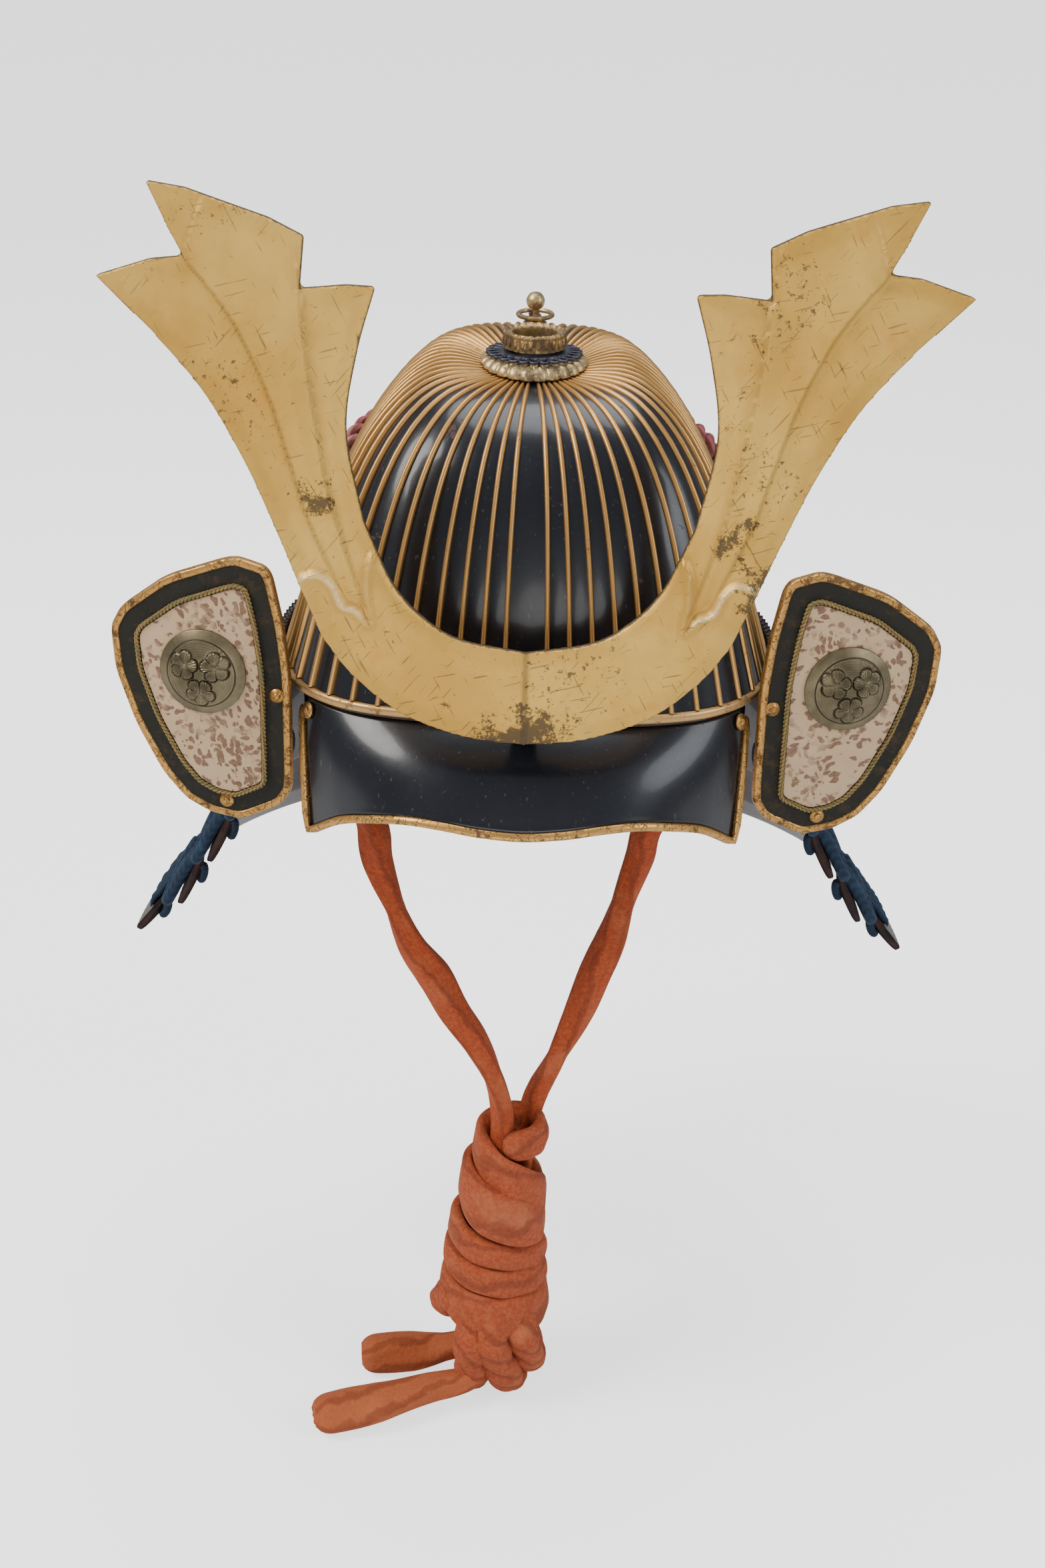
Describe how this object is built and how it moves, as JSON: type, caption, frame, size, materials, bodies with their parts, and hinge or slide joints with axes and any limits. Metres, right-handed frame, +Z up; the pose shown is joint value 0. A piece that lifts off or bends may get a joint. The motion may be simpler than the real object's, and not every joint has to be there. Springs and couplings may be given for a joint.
{
  "type": "samurai helmet",
  "caption": "Ribbed iron samurai helmet with a gilt crest, visor, turnbacks, laced flared neck guard, rear cord bow and a knotted cloth chin cord.",
  "frame": {"origin": "centre of the bowl's rim plane, where the helmet sits on a head", "axes": "+Z up through the crown hole, the brow and the crest face -Y, +X to the wearer's left"},
  "size_m": [0.4176, 0.3681, 0.685],
  "materials": {
    "black_lacquer": "polished black lacquer with gilt ribs, worn",
    "gilt_copper": "old fire gilding, satin",
    "dark_copper": "dark patinated copper alloy",
    "gold_leaf_wood": "gold leaf over lacquered wood, scratched",
    "scale_lacquer": "dark lacquered scale boards",
    "blue_silk": "braided dark blue silk lacing",
    "border_leather": "dark green-black stencilled leather",
    "panel_leather": "cream leather with maroon-brown flecks",
    "twisted_silk": "twisted gold, green and brown piping",
    "dull_brass": "grey-brown patinated, engraved",
    "pink_silk": "dusty pink twisted silk",
    "rust_cloth": "rust-orange crepe cloth"
  },
  "bodies": {
    "root": {"bowl": "black_lacquer", "rim_band": "gilt_copper", "tehen_base": "gilt_copper", "tehen_filigree": "dark_copper", "tehen_ring": "gilt_copper", "visor": "black_lacquer", "visor_rim": "gilt_copper", "crest": "gold_leaf_wood", "crest_post": "black_lacquer", "neck_lame_1": "scale_lacquer", "neck_lame_2": "scale_lacquer", "neck_lame_3": "scale_lacquer", "neck_lame_4": "scale_lacquer", "neck_lame_5": "scale_lacquer", "lacing_1": "blue_silk", "lacing_2": "blue_silk", "lacing_3": "blue_silk", "lacing_4": "blue_silk", "lacing_5": "blue_silk", "turnback_plate_left": "border_leather", "turnback_plate_right": "border_leather", "turnback_panel_left": "panel_leather", "turnback_panel_right": "panel_leather", "turnback_piping_left": "twisted_silk", "turnback_piping_right": "twisted_silk", "turnback_rim_left": "gilt_copper", "turnback_rim_right": "gilt_copper", "turnback_boss_left": "dull_brass", "turnback_boss_right": "dull_brass", "rear_stud": "gilt_copper", "rear_ring": "gilt_copper", "bow_knot": "pink_silk", "bow_drop": "pink_silk", "bow_loop_left": "pink_silk", "bow_loop_right": "pink_silk", "bow_tail_left": "pink_silk", "bow_tail_right": "pink_silk", "bow_tassel_left": "pink_silk", "bow_tassel_right": "pink_silk", "cord_ring_left": "dark_copper", "cord_ring_right": "dark_copper", "cord_ring_nape": "dark_copper", "chin_cord_inner": "rust_cloth", "chin_cord_left": "rust_cloth", "chin_cord_right": "rust_cloth", "cord_winding": "rust_cloth", "cord_tail_front": "rust_cloth", "cord_tail_rear": "rust_cloth"}
  },
  "joints": []
}
